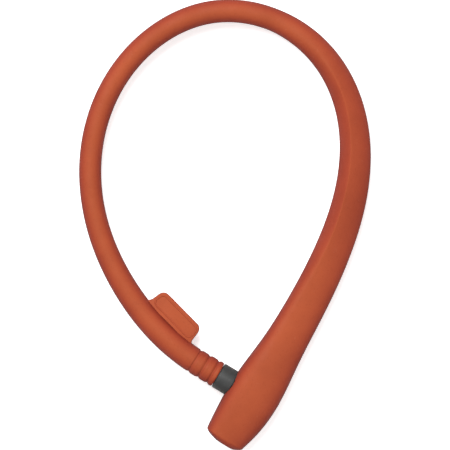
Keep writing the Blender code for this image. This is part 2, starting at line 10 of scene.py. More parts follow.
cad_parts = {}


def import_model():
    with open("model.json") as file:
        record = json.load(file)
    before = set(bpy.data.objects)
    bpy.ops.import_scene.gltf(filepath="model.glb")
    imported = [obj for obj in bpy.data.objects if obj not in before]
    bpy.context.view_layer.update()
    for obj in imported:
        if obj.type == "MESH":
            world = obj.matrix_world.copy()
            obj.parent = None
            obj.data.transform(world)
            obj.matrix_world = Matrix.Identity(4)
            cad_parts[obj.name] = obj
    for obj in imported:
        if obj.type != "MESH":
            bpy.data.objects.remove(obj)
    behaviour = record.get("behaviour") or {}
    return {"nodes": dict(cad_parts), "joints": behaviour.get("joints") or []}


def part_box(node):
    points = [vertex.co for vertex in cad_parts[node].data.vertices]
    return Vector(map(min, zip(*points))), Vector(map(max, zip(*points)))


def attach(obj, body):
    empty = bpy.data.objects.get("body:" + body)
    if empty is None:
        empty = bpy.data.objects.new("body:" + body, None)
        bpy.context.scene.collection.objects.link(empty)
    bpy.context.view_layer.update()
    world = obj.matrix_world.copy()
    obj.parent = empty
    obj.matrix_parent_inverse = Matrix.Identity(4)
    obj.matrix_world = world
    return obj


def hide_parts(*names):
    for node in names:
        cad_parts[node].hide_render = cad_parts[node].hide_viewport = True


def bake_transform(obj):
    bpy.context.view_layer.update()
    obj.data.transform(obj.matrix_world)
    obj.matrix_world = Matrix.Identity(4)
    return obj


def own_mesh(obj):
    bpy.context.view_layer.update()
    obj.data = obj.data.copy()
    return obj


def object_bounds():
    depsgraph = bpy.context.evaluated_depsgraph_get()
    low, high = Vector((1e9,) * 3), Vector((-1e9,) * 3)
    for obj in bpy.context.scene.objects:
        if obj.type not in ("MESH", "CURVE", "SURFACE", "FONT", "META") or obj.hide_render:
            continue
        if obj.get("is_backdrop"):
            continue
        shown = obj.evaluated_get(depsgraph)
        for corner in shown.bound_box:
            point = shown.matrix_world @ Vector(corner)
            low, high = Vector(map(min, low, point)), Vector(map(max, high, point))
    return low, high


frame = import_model()
cad_low, cad_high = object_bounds()

# The lock's lengths are in millimetres, and its places are measured from HEAD, where the plug's axis
# meets the key cylinder's. s is the distance along the cable's centre line from there, negative in
# the head's lower half. The studio and the materials are in metres.
MM = 0.001
RING = 96                 # points round the jacket
RING_STEP = 1.5           # distance between the jacket's rings
FINE_STEP = 0.2           # the same along the ribs
ROUND = 72                # sides of a turned piece


# ---------------------------------------------------------------- places taken from the frame

def joint_place(name):
    found = [j for j in frame["joints"] if j["name"] == name][0]
    return Vector(found["pos_m"])


def box_mm(node):
    """A node's box in the lock's own millimetres."""
    low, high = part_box(node)
    return (low - HEAD) / MM, (high - HEAD) / MM


pin_low, pin_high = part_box("plug_pin")
key_place = joint_place("key_turn")
HEAD = Vector((key_place.x, (pin_low.y + pin_high.y) / 2, key_place.z))
BENDS = sorted(j["name"] for j in frame["joints"] if j["name"].startswith("cable_bend_"))
BEND_POINTS = [(joint_place(name) - HEAD) / MM for name in BENDS]

collar_low, collar_high = box_mm("plug_collar")
COLLAR_R = collar_high.z
barrel_low, barrel_high = box_mm("cylinder_barrel")
core_low, core_high = box_mm("cylinder_plug")
STRAIGHT_X = -38.0
PLUG_X = collar_low.x


def smooth(t):
    t = np.clip(t, 0.0, 1.0)
    return t * t * (3 - 2 * t)


def mix(a, b, share):
    return a + (b - a) * share


# ---------------------------------------------------------------- centre line

def spline_slopes(knots, values, first, last):
    count = len(knots)
    step = np.diff(knots)
    rise = np.diff(values) / step
    system = np.eye(count)
    right = np.zeros(count)
    right[0], right[-1] = first, last
    for k in range(1, count - 1):
        system[k, k - 1:k + 2] = step[k], 2 * (step[k - 1] + step[k]), step[k - 1]
        right[k] = 3 * (step[k] * rise[k - 1] + step[k - 1] * rise[k])
    return np.linalg.solve(system, right)


def loop_line(samples=160):
    """The smooth line from the head through every bend to the plug: distances, points, bends."""
    inner = [(p.x, p.y) for p in BEND_POINTS]
    points = np.array([(0.0, 0.0)] + inner + [(STRAIGHT_X, 0.0)])
    knots = np.concatenate([[0.0], np.cumsum(np.linalg.norm(np.diff(points, axis=0), axis=1))])
    slopes = np.column_stack([
        spline_slopes(knots, points[:, 0], 0.0, 1.0),
        spline_slopes(knots, points[:, 1], 1.0, 0.0),
    ])
    line = []
    for k in range(len(points) - 1):
        step = knots[k + 1] - knots[k]
        for t in np.linspace(0, 1, samples, endpoint=False):
            line.append(
                (2 * t**3 - 3 * t**2 + 1) * points[k] + (t**3 - 2 * t**2 + t) * step * slopes[k]
                + (3 * t**2 - 2 * t**3) * points[k + 1] + (t**3 - t**2) * step * slopes[k + 1])
    line = np.array(line + [points[-1]])
    distance = np.concatenate([[0.0], np.cumsum(np.linalg.norm(np.diff(line, axis=0), axis=1))])
    return distance, line, [float(distance[(k + 1) * samples]) for k in range(len(inner))]


LINE_S, LINE_XY, BEND_S = loop_line()
STRAIGHT_S = float(LINE_S[-1])
PLUG_S = STRAIGHT_S + PLUG_X - STRAIGHT_X


def at(s):
    """Point of the centre line at s, which runs straight on past both ends of the curve."""
    if s < 0:
        return np.array([0.0, s, 0.0])
    if s > STRAIGHT_S:
        return np.array([STRAIGHT_X + s - STRAIGHT_S, 0.0, 0.0])
    return np.array([np.interp(s, LINE_S, LINE_XY[:, 0]), np.interp(s, LINE_S, LINE_XY[:, 1]), 0.0])


def heading(s):
    ahead = at(s + 0.7) - at(s - 0.7)
    return ahead / np.linalg.norm(ahead)


def outward(s):
    ahead = heading(s)
    return np.array([ahead[1], -ahead[0], 0.0])


# ---------------------------------------------------------------- the jacket's section

CABLE_R = 6.8
PLUG_END_R = 7.8
HEAD_HALF_WIDTH = 16.0
HEAD_HALF_DEPTH = 13.0
HEAD_SQUARENESS = 0.8     # added to the power 2 of an oval
HEAD_END_S = -30.5
NECK_S = 4.0              # from here on the head narrows into the taper
TAPER_END = 264.0
TAPER_SLOPE = 0.0252
SWELL_START = 440.0       # the cable thickens again from here to the plug
SWELL_LENGTH = 120.0
KEY_OPENING_R = 6.4
END_CORNER = -30.3        # s where the head's sides turn into its domed end
DOME_DROP = 4.0
END_LEAN = 1.6            # how far the end is shifted towards the loop
JACKET_WALL = 2.3
BORE_R = 4.3
RIDGE_RISE = 1.9          # how much deeper the taper is along its ridge


def plug_swell(s):
    return (PLUG_END_R - CABLE_R) * smooth((s - SWELL_START) / SWELL_LENGTH)


def half_width(s):
    if s < NECK_S:
        return HEAD_HALF_WIDTH - 3.3 * (min(s, 0.0) / HEAD_END_S) ** 2
    taper = CABLE_R + 0.2 + TAPER_SLOPE * max(0.0, TAPER_END - s)
    shoulder = 2.35 * math.exp(-((s - NECK_S) / 25) ** 2)
    return taper + shoulder - 0.2 * smooth((s - TAPER_END) / 100) + plug_swell(s)


def half_depth(s):
    if s < NECK_S:
        return HEAD_HALF_DEPTH - 2.8 * (min(s, 0.0) / HEAD_END_S) ** 2
    taper = CABLE_R + 2.9 * max(0.0, 1 - s / TAPER_END)
    shoulder = 3.3 * math.exp(-((s - NECK_S) / 30) ** 2)
    return taper + shoulder + RIDGE_RISE * ridge(s) + plug_swell(s)


def squareness(s):
    """Power of the head's outline: 2 is an oval, more is squarer."""
    return 2 + HEAD_SQUARENESS * math.exp(-(max(s, 0.0) / 45) ** 2)


def ridge(s):
    """How far the taper's crest has turned from a round back into an edge."""
    return smooth((s - 62) / 55) * (1 - smooth((s - 195) / 60))


def crest_offset(s):
    """Where the back's highest line runs, from the centre line towards the outer side."""
    share = (0.8 + 0.2 * smooth((s - 15) / 60)) * (1 - smooth((s - 215) / 60))
    return -share * min(6.0, max(half_width(s) - 6.5, 0.0))


def half_section(angle, reach, depth, crest_power, edge_power):
    """One point of a section half: the powers set how sharp its crest and its edge are."""
    c, u = abs(math.cos(angle)), abs(math.sin(angle))
    return reach * c ** (2 / crest_power), depth * u ** (2 / edge_power)


def ring_angles():
    return [2 * math.pi * (k + 0.5) / RING for k in range(RING)]


def jacket_ring(s, inset=0.0):
    """The jacket's outline at s as points, shrunk all round by inset."""
    width, depth = half_width(s) - inset, half_depth(s) - inset
    crest = crest_offset(s)
    round_power = squareness(s)
    edge = ridge(s)
    lean = END_LEAN * (min(s, 0.0) / 30) ** 2
    centre, side = at(s), outward(s)
    points = []
    for angle in ring_angles():
        outer = math.cos(angle) > 0
        head_power = mix(2.0, 1.9 if outer else 2.5, (round_power - 2) / HEAD_SQUARENESS)
        crest_power = mix(head_power, 1.12, edge)
        reach = width - crest if outer else width + crest
        a, u = half_section(angle, reach, depth, crest_power, mix(round_power, 1.6, edge))
        across = crest + (a if outer else -a) - lean
        up = math.copysign(u, math.sin(angle))
        points.append(centre + side * across + np.array([0, 0, up]))
    return np.array(points)


def round_ring(s, radius):
    """A circle round the centre line at s."""
    centre, side = at(s), outward(s)
    return np.array([
        centre + side * (radius * math.cos(angle)) + np.array([0, 0, radius * math.sin(angle)])
        for angle in ring_angles()])


def blended_ring(share):
    """A ring of the head's dome: share 0 is the head's outline, 1 the key opening."""
    drop = DOME_DROP * share ** 0.47
    outline = jacket_ring(END_CORNER)
    outline = outline - at(END_CORNER) + at(END_CORNER - drop)
    opening = round_ring(END_CORNER - drop, KEY_OPENING_R)
    return mix(outline, opening, share)


def steps(low, high, step):
    """Even places from low to high, no further apart than step."""
    return list(np.linspace(low, high, max(2, int(math.ceil((high - low) / step)) + 1)))


# ---------------------------------------------------------------- mesh helpers

def world(points):
    return [HEAD + Vector(p) * MM for p in points]


def add_rings(bm, rings, closed):
    loops = [[bm.verts.new(p) for p in world(ring)] for ring in rings]
    pairs = list(zip(loops, loops[1:]))
    if closed:
        pairs.append((loops[-1], loops[0]))
    for low, high in pairs:
        for k in range(len(low)):
            after = (k + 1) % len(low)
            bm.faces.new((low[k], low[after], high[after], high[k]))
    if not closed:
        bm.faces.new(loops[0])
        bm.faces.new(loops[-1])


def mesh_piece(name, bm, finish, sharp=40):
    bmesh.ops.recalc_face_normals(bm, faces=bm.faces)
    if bm.calc_volume(signed=True) < 0:
        bmesh.ops.reverse_faces(bm, faces=bm.faces)
    mesh = bpy.data.meshes.new(name)
    bm.to_mesh(mesh)
    bm.free()
    mesh.shade_smooth()
    mesh.set_sharp_from_angle(angle=math.radians(sharp))
    mesh.materials.append(finish)
    made = bpy.data.objects.new(name, mesh)
    bpy.context.scene.collection.objects.link(made)
    return made


def lofted(name, rings, finish, closed=False, sharp=40):
    bm = bmesh.new()
    add_rings(bm, rings, closed)
    return mesh_piece(name, bm, finish, sharp)


def rounded(profile, radius, closed):
    """The profile with each corner eased by a short curve."""
    points = [np.array(p, dtype=float) for p in profile]
    count = len(points)
    made = []
    for k, here in enumerate(points):
        if not closed and k in (0, count - 1):
            made.append(tuple(here))
            continue
        before, after = points[k - 1], points[(k + 1) % count]
        for t in (0.0, 0.25, 0.5, 0.75, 1.0):
            start = here + (before - here) * min(radius / np.linalg.norm(before - here), 0.45)
            end = here + (after - here) * min(radius / np.linalg.norm(after - here), 0.45)
            made.append(tuple((1 - t)**2 * start + 2 * t * (1 - t) * here + t**2 * end))
    return made


def turned(name, axis, profile, finish, closed=False, ease=0.25):
    rings = []
    for along, radius in rounded(profile, ease, closed):
        ring = []
        for k in range(ROUND):
            angle = 2 * math.pi * (k + 0.5) / ROUND
            a, b = radius * math.cos(angle), radius * math.sin(angle)
            ring.append((along, a, b) if axis == "X" else (b, along, a))
        rings.append(np.array(ring))
    return lofted(name, rings, finish, closed, 50)


def cut(target, tool):
    """Take tool out of target and remove it."""
    modifier = target.modifiers.new("cut", "BOOLEAN")
    modifier.operation = "DIFFERENCE"
    modifier.solver = "EXACT"
    modifier.object = tool
    bpy.context.view_layer.update()
    evaluated = target.evaluated_get(bpy.context.evaluated_depsgraph_get())
    mesh = bpy.data.meshes.new_from_object(evaluated)
    target.modifiers.clear()
    target.data = mesh
    bpy.data.objects.remove(tool, do_unlink=True)
    mesh.shade_smooth()
    mesh.set_sharp_from_angle(angle=math.radians(50))


def box_tool(low, high):
    bm = bmesh.new()
    bmesh.ops.create_cube(bm, size=1)
    middle = HEAD + (Vector(low) + Vector(high)) / 2 * MM
    size = (Vector(high) - Vector(low)) * MM
    bmesh.ops.transform(
        bm, matrix=Matrix.Translation(middle) @ Matrix.Diagonal((*size, 1)), verts=bm.verts)
    return mesh_piece("tool", bm, STEEL)


# ---------------------------------------------------------------- materials

class Nodes:
    """Short way to add and join shader nodes of one material."""

    def __init__(self, name):
        self.material = bpy.data.materials.new(name)
        self.material.use_nodes = True
        self.tree = self.material.node_tree
        self.shader = self.tree.nodes["Principled BSDF"]
        self.place = self.tree.nodes.new("ShaderNodeTexCoord").outputs["Object"]

    def join(self, source, target):
        self.tree.links.new(source, target)

    def noise(self, scale, detail=4.0, roughness=0.55, stretch=None):
        node = self.tree.nodes.new("ShaderNodeTexNoise")
        node.inputs["Scale"].default_value = scale
        node.inputs["Detail"].default_value = detail
        node.inputs["Roughness"].default_value = roughness
        place = self.place
        if stretch:
            mapping = self.tree.nodes.new("ShaderNodeMapping")
            mapping.inputs["Scale"].default_value = stretch
            self.join(place, mapping.inputs["Vector"])
            place = mapping.outputs["Vector"]
        self.join(place, node.inputs["Vector"])
        return node.outputs["Fac"]

    def ramp(self, source, stops):
        node = self.tree.nodes.new("ShaderNodeValToRGB")
        elements = node.color_ramp.elements
        while len(elements) < len(stops):
            elements.new(0.5)
        for element, (place, colour) in zip(elements, stops):
            element.position = place
            element.color = (*colour, 1.0)
        self.join(source, node.inputs["Fac"])
        return node.outputs["Color"]

    def span(self, source, low, high, start=0.3, end=0.7):
        node = self.tree.nodes.new("ShaderNodeMapRange")
        node.inputs["From Min"].default_value = start
        node.inputs["From Max"].default_value = end
        node.inputs["To Min"].default_value = low
        node.inputs["To Max"].default_value = high
        self.join(source, node.inputs["Value"])
        return node.outputs["Result"]

    def blend_colour(self, kind, share, a, b):
        node = self.tree.nodes.new("ShaderNodeMix")
        node.data_type = "RGBA"
        node.blend_type = kind
        for value, slot in ((share, 0), (a, 6), (b, 7)):
            if hasattr(value, "node"):
                self.join(value, node.inputs[slot])
            else:
                node.inputs[slot].default_value = value
        return node.outputs[2]

    def bump(self, source, strength, distance, under=None):
        node = self.tree.nodes.new("ShaderNodeBump")
        node.inputs["Strength"].default_value = strength
        node.inputs["Distance"].default_value = distance
        self.join(source, node.inputs["Height"])
        if under:
            self.join(under, node.inputs["Normal"])
        return node.outputs["Normal"]

    # How far the surface turns from the eye, used to paint shade into colours
    def painted_shade_facing(self):
        node = self.tree.nodes.new("ShaderNodeLayerWeight")
        node.inputs["Blend"].default_value = 0.5
        return node.outputs["Facing"]


def silicone_material():
    """Matte orange-brown silicone, with painted shade: its colour reddens and darkens as it turns from
    the eye.
    """
    n = Nodes("silicone_jacket")
    # Painted shade: the facing ramp reddens and darkens the colour towards the outline, to near black
    # at its edge
    tone = n.ramp(n.painted_shade_facing(), [
        (0.0, (0.370, 0.072, 0.026)), (0.10, (0.354, 0.063, 0.025)), (0.28, (0.312, 0.047, 0.021)),
        (0.55, (0.262, 0.035, 0.018)), (0.80, (0.185, 0.022, 0.014)), (1.0, (0.060, 0.010, 0.007)),
    ])
    clouds = n.ramp(n.noise(38.0, 3.0), [(0.3, (0.90, 0.88, 0.88)), (0.7, (1.06, 1.07, 1.05))])
    colour = n.blend_colour("MULTIPLY", 1.0, tone, clouds)
    specks = n.ramp(n.noise(900.0, 2.0), [(0.28, (0.86, 0.84, 0.84)), (0.42, (1.0, 1.0, 1.0))])
    colour = n.blend_colour("MULTIPLY", 0.6, colour, specks)
    dust = n.ramp(n.noise(260.0, 5.0, 0.7), [(0.62, (0.0, 0.0, 0.0)), (0.80, (0.10, 0.10, 0.10))])
    colour = n.blend_colour("MIX", dust, colour, (0.62, 0.30, 0.20, 1.0))
    n.join(colour, n.shader.inputs["Base Color"])
    n.join(n.span(n.noise(120.0), 0.56, 0.72), n.shader.inputs["Roughness"])
    n.shader.inputs["Specular IOR Level"].default_value = 0.14
    grain = n.bump(n.noise(2600.0, 3.0), 0.16, 0.00012)
    n.join(n.bump(n.noise(150.0, 2.0), 0.10, 0.0006, grain), n.shader.inputs["Normal"])
    return n.material


def collar_material():
    """Satin dark grey moulding with a fine grain and light rubbed patches, and painted shade darkening
    it towards its outline.
    """
    n = Nodes("collar_satin")
    # Painted shade: the grey darkens to near black as the surface turns from the eye
    tone = n.ramp(n.painted_shade_facing(), [
        (0.0, (0.046, 0.047, 0.046)), (0.5, (0.030, 0.031, 0.030)), (1.0, (0.005, 0.005, 0.006))])
    wear = n.ramp(n.noise(420.0, 6.0, 0.65), [(0.5, (0.92, 0.92, 0.92)), (0.75, (1.25, 1.25, 1.24))])
    n.join(n.blend_colour("MULTIPLY", 1.0, tone, wear), n.shader.inputs["Base Color"])
    n.join(n.span(n.noise(500.0), 0.42, 0.58), n.shader.inputs["Roughness"])
    n.shader.inputs["Specular IOR Level"].default_value = 0.35
    n.join(n.bump(n.noise(3200.0, 2.0), 0.18, 0.0001), n.shader.inputs["Normal"])
    return n.material


def metal_material(name, dark, light, rough, stretch, grain_scale):
    """Bare metal with machining marks, stains and an uneven polish."""
    n = Nodes(name)
    marks = n.noise(grain_scale, 6.0, 0.6, stretch)
    tone = n.ramp(marks, [(0.3, dark), (0.7, light)])
    stain = n.ramp(n.noise(130.0, 5.0), [(0.35, (0.72, 0.70, 0.68)), (0.6, (1.0, 1.0, 1.0))])
    n.join(n.blend_colour("MULTIPLY", 0.7, tone, stain), n.shader.inputs["Base Color"])
    n.shader.inputs["Metallic"].default_value = 1.0
    n.join(n.span(n.noise(grain_scale / 2), rough, rough + 0.16), n.shader.inputs["Roughness"])
    n.join(n.bump(marks, 0.15, 0.00008), n.shader.inputs["Normal"])
    return n.material


def rubber_material():
    n = Nodes("seal_rubber_black")
    tone = n.ramp(n.noise(500.0, 4.0), [(0.3, (0.018, 0.018, 0.018)), (0.7, (0.038, 0.037, 0.036))])
    n.join(tone, n.shader.inputs["Base Color"])
    n.join(n.span(n.noise(700.0), 0.62, 0.82), n.shader.inputs["Roughness"])
    n.join(n.bump(n.noise(2200.0), 0.2, 0.0001), n.shader.inputs["Normal"])
    return n.material


SILICONE = silicone_material()
COLLAR = collar_material()
STEEL = metal_material("steel_turned", (0.40, 0.41, 0.42), (0.62, 0.63, 0.64), 0.24, (1, 8, 8), 500.0)
ZINC = metal_material("zinc_die_cast", (0.34, 0.35, 0.36), (0.50, 0.51, 0.52), 0.42, None, 700.0)
BRASS = metal_material("brass_machined", (0.58, 0.42, 0.17), (0.80, 0.60, 0.27), 0.28, (8, 1, 8), 600.0)
ROPE = metal_material("rope_galvanised", (0.28, 0.29, 0.30), (0.55, 0.56, 0.57), 0.36, (1, 1, 5), 900.0)
RUBBER = rubber_material()


# ---------------------------------------------------------------- jacket pieces

def keep_edge_shading(piece, stations, by_loop=None):
    """Give the rings shared by two jacket pieces the whole jacket's own normals, so no seam shows.
    by_loop holds other normals to keep, by face corner."""
    wanted = {}
    for s in stations:
        here = world(jacket_ring(s))
        ahead, behind = world(jacket_ring(s + 0.5)), world(jacket_ring(s - 0.5))
        for k, p in enumerate(here):
            along = ahead[k] - behind[k]
            round_about = here[(k + 1) % RING] - here[k - 1]
            normal = along.cross(round_about).normalized()
            centre = HEAD + Vector(at(s)) * MM
            if normal.dot(p - centre) < 0:
                normal.negate()
            wanted[tuple(round(c * 1e7) for c in p)] = normal
    mesh = piece.data
    own = [wanted.get(tuple(round(c * 1e7) for c in v.co), Vector((0, 0, 0))) for v in mesh.vertices]
    kept = by_loop or {}
    mesh.normals_split_custom_set([
        kept.get(loop.index, own[loop.vertex_index]) for loop in mesh.loops])


def surface_memory(piece):
    """The piece's present surface and its smooth normals, to be looked up after it is cut."""
    mesh = piece.data
    places = [v.co.copy() for v in mesh.vertices]
    faces = [tuple(f.vertices) for f in mesh.polygons]
    return BVHTree.FromPolygons(places, faces), places, faces, [v.normal.copy() for v in mesh.vertices]


def old_normal(memory, place):
    """Normal of the remembered surface at a place on it, blended from its face's corners."""
    tree, places, faces, normals = memory
    face = faces[tree.find_nearest(place)[2]]
    total = Vector((0, 0, 0))
    for corner in face:
        total += normals[corner] / ((places[corner] - place).length + 1e-6)
    return total.normalized()


def shade_cut_skin(piece, memory, near_mouth):
    """Keep the skin's own shading up to the edge of the mouth cut in it."""
    mesh = piece.data
    tree = memory[0]
    on_skin = [
        near_mouth(f.center) and tree.find_nearest(f.center)[3] < 2e-6 for f in mesh.polygons]
    users = {}
    for f in mesh.polygons:
        for key in f.edge_keys:
            users.setdefault(key, []).append(f.index)
    flags = mesh.attributes.get("sharp_edge") or mesh.attributes.new("sharp_edge", "BOOLEAN", "EDGE")
    for edge in mesh.edges:
        pair = users.get(tuple(sorted(edge.vertices)), [])
        centre = (mesh.vertices[edge.vertices[0]].co + mesh.vertices[edge.vertices[1]].co) / 2
        if len(pair) == 2 and near_mouth(centre) and on_skin[pair[0]] != on_skin[pair[1]]:
            flags.data[edge.index].value = True
    return {
        loop: old_normal(memory, mesh.vertices[mesh.loops[loop].vertex_index].co)
        for f in mesh.polygons if on_skin[f.index] for loop in f.loop_indices}


def bend_limits():
    """s where each bending piece of the jacket starts and ends."""
    half = (BEND_S[1] - BEND_S[0]) / 2
    middles = [(a + b) / 2 for a, b in zip(BEND_S, BEND_S[1:])]
    return [BEND_S[0] - half] + middles + [BEND_S[-1] + half]


LIMITS = bend_limits()
BLEND_MARGIN = 0.05       # taken off each end of a bend's reach along the line

MOUTH_GAP = 0.35          # between the collar and the socket's mouth
MOUTH_REACH = (-20.0, -10.0)
MOUTH_MIDDLE = -16.0
MOUTH_ZONE = 17.0         # the skin's shading is kept this far round the mouth
MOUTH_ZONE_BACK = 9.0
DOME_RINGS = 22
THROAT_EASE = 0.25        # how much narrower than its rim the key opening gets
THROAT_END = -31.9
HOLLOW_STATIONS = (24.6, 12.0, 0.0, -12.0, -22.0, -31.6)
BORE_END = 25.0


def head_skin():
    """Jacket of the head: domed end with the key opening, hollow, with the socket's mouth cut."""
    rim = LIMITS[0]
    outside = [jacket_ring(s) for s in steps(END_CORNER, rim, RING_STEP)]
    bore = [round_ring(s, BORE_R) for s in (rim, BORE_END)]
    hollow = [jacket_ring(s, JACKET_WALL) for s in HOLLOW_STATIONS]
    lip_low = END_CORNER - DOME_DROP
    throat = [round_ring(s, r) for s, r in (
        (THROAT_END, KEY_OPENING_R - THROAT_EASE), (lip_low + 0.6, KEY_OPENING_R - THROAT_EASE),
        (lip_low + 0.2, KEY_OPENING_R - 0.2), (lip_low + 0.04, KEY_OPENING_R - 0.1))]
    dome = [blended_ring((v / DOME_RINGS) ** 2) for v in range(DOME_RINGS, 0, -1)]
    skin = lofted("head_skin", outside + bore + hollow + throat + dome, SILICONE, closed=True)
    mouth_r = COLLAR_R + MOUTH_GAP
    mouth = turned("tool", "X", [(x, mouth_r) for x in MOUTH_REACH], SILICONE, ease=0.0)
    memory = surface_memory(skin)
    cut(skin, mouth)
    middle = HEAD + Vector((MOUTH_MIDDLE, 0, 0)) * MM

    def near_mouth(p):
        return (p - middle).length < MOUTH_ZONE * MM and p.x < middle.x + MOUTH_ZONE_BACK * MM

    kept = shade_cut_skin(skin, memory, near_mouth)
    keep_edge_shading(skin, [rim], kept)
    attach(skin, "lock_head")
    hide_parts("head_jacket")


def bending_skin(number):
    """Jacket across one bend, lofted from halfway back to the bend before to halfway on to the bend
    after.
    """
    low, high = LIMITS[number - 1], LIMITS[number]
    skin = lofted(
        f"cable_skin_{number:02d}", [jacket_ring(s) for s in steps(low, high, RING_STEP)], SILICONE)
    keep_edge_shading(skin, [low, high])
    middle = BEND_S[number - 1]
    along = heading(middle)
    reach_back = float(np.min((at(middle) - jacket_ring(low)) @ along)) - BLEND_MARGIN
    reach_on = float(np.min((jacket_ring(high) - at(middle)) @ along)) - BLEND_MARGIN
    start = HEAD + Vector(at(middle) - along * reach_back) * MM
    end = HEAD + Vector(at(middle) + along * reach_on) * MM
    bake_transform(skin)
    if number < len(BENDS):
        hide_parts(f"sleeve_link_{number:02d}")


RIB_START = 19.0
RIBS = [
    (19.0, 7.8), (17.6, 7.75), (16.8, 7.2), (15.6, 7.8), (14.9, 7.95), (11.9, 7.95), (11.0, 7.7),
    (10.1, 7.2), (9.1, 7.85), (8.4, 8.05), (5.4, 8.05), (4.6, 7.8), (3.7, 7.2), (2.8, 8.0),
    (2.2, 8.17), (0.9, 8.17), (0.3, 7.75),
]


def rib_radius(back):
    """Radius of the ribbed end, its corners eased over about half a millimetre."""
    places = [b for b, _ in reversed(RIBS)]
    radii = [r for _, r in reversed(RIBS)]
    around = np.linspace(-0.45, 0.45, 9)
    weights = np.exp(-(around / 0.25) ** 2)
    return float(np.sum(np.interp(back + around, places, radii) * weights) / np.sum(weights))


def end_skin():
    """Jacket from the last bend through the ribs to the collar."""
    low = LIMITS[-1]
    rings = [jacket_ring(s) for s in steps(low, PLUG_S - RIB_START, RING_STEP)]
    for back in steps(0.3, RIB_START - FINE_STEP, FINE_STEP)[::-1]:
        rings.append(round_ring(PLUG_S - back, rib_radius(back)))
    skin = lofted("sleeve_end_skin", rings, SILICONE)
    keep_edge_shading(skin, [low])
    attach(skin, f"cable_link_{len(BENDS):02d}")
    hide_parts(f"sleeve_link_{len(BENDS):02d}")


# ---------------------------------------------------------------- label tab

TAB_LOW = 525.8
TAB_HIGH = 563.6
TAB_TIP = 19.3
TAB_HALF = 2.2
TAB_CORNER = 4.6
TAB_EDGE = 0.9
TAB_FLARE = 2.6
TAB_ROOT = 6.2            # distance inwards at which its sides start, inside the cable
TAB_FLARE_ENDS = (10.4, 9.6)
BORDER_INSET = 2.0
BORDER_BEAD = 0.5
BORDER_CORNER = 2.9
BORDER_NEAR = 9.3


def tab_outline(inset):
    """Outline of the tab as (s, distance inwards), flared where it meets the cable."""
    low, high, tip = TAB_LOW + inset, TAB_HIGH - inset, TAB_TIP - inset
    corner = max(TAB_CORNER - inset, 0.6)
    points = []
    for t in np.linspace(0, 1, 7):
        points.append((low - TAB_FLARE * (1 - t) ** 2, mix(TAB_ROOT, TAB_FLARE_ENDS[0], t)))
    for s, turn in ((low + corner, 180), (high - corner, 90)):
        for k in range(11):
            angle = math.radians(turn - 9 * k)
            points.append((s + corner * math.cos(angle), tip - corner + corner * math.sin(angle)))
    for t in np.linspace(1, 0, 7):
        points.append((high + TAB_FLARE * (1 - t) ** 2, mix(TAB_ROOT, TAB_FLARE_ENDS[1], t)))
    return points


def label_tab():
    """Flat tab with rounded edges, moulded on the inside of the loop."""
    rings = []
    for k in range(9):
        angle = math.radians(-90 + 22.5 * k)
        inset = TAB_EDGE * (1 - math.cos(angle))
        up = (TAB_HALF - TAB_EDGE) * math.copysign(1, angle) if k != 4 else 0.0
        up += TAB_EDGE * math.sin(angle)
        rings.append(np.array([
            at(s) - outward(s) * inward + np.array([0, 0, up]) for s, inward in tab_outline(inset)]))
    tab = lofted("label_tab", rings, SILICONE, sharp=60)
    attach(tab, f"cable_link_{len(BENDS):02d}")


def tab_border():
    """Thin raised bead round the tab's upper face."""
    bead, corner = BORDER_BEAD, BORDER_CORNER
    low, high = TAB_LOW + BORDER_INSET, TAB_HIGH - BORDER_INSET
    near, far = BORDER_NEAR, TAB_TIP - BORDER_INSET
    path = []
    corners = ((low + corner, far - corner, 180), (high - corner, far - corner, 90),
               (high - corner, near + corner, 0), (low + corner, near + corner, -90))
    for s, inward, turn in corners:
        for k in range(9):
            angle = math.radians(turn - 11.25 * k)
            path.append((s + corner * math.cos(angle), inward + corner * math.sin(angle)))
    line = np.array([at(s) - outward(s) * inward + np.array([0, 0, TAB_HALF]) for s, inward in path])
    rings = []
    for k, p in enumerate(line):
        along = line[(k + 1) % len(line)] - line[k - 1]
        along /= np.linalg.norm(along)
        side = np.array([along[1], -along[0], 0.0])
        rings.append(np.array([
            p + side * bead * math.cos(a) + np.array([0, 0, 0.6 * bead * math.sin(a)])
            for a in (2 * math.pi * c / 12 for c in range(12))]))
    border = lofted("label_tab_border", rings, SILICONE, closed=True)
    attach(border, f"cable_link_{len(BENDS):02d}")


# ---------------------------------------------------------------- plug, socket and key end

SOCKET_BORE = 5.3
SEAL_BORE = 5.5
BUSH_CHAMFER = 0.4
PLUG_SHANK_R = 3.0
GROOVE_HALF = 2.8
NOSE_LENGTH = 3.5
NOSE_TIP_R = 1.8
COLLAR_STEP = (0.4, 0.45)     # length and depth of the step beside the ribs
BOLT_HOLE_R = 2.35
KEY_CORE_R = 4.4
KEY_TAIL_R = 2.0
KEYWAY_HALF = (0.9, 3.2)
KEYWAY_FOOT = -21.5
CORE_CENTRE_R = 0.0001        # closes the turned face at its middle


def plug_parts():
    """Collar and pin, finer than the frame's."""
    body = f"cable_link_{len(BENDS):02d}"
    step, drop = COLLAR_STEP
    collar = turned("collar_shell", "X", [
        (collar_low.x, SOCKET_BORE), (collar_low.x, COLLAR_R - drop),
        (collar_low.x + step, COLLAR_R - drop), (collar_low.x + step, COLLAR_R),
        (collar_high.x, COLLAR_R), (collar_high.x, SOCKET_BORE)], COLLAR, closed=True, ease=0.3)
    low, high = box_mm("plug_pin")
    radius = high.z
    nose = [
        (high.x - NOSE_LENGTH * (1 - math.sin(a)), NOSE_TIP_R + (radius - NOSE_TIP_R) * math.cos(a))
        for a in np.radians(np.linspace(0, 90, 12))]
    pin = turned("plug_pin_turned", "X", [
        (low.x, PLUG_SHANK_R), (collar_low.x, PLUG_SHANK_R), (collar_low.x, radius),
        (-GROOVE_HALF, radius), (-GROOVE_HALF, PLUG_SHANK_R), (GROOVE_HALF, PLUG_SHANK_R),
        (GROOVE_HALF, radius)] + nose, STEEL, ease=0.2)
    for piece, node, finish in ((collar, "plug_collar", "collar_grey"), (pin, "plug_pin", "steel")):
        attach(piece, body)
        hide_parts(node)


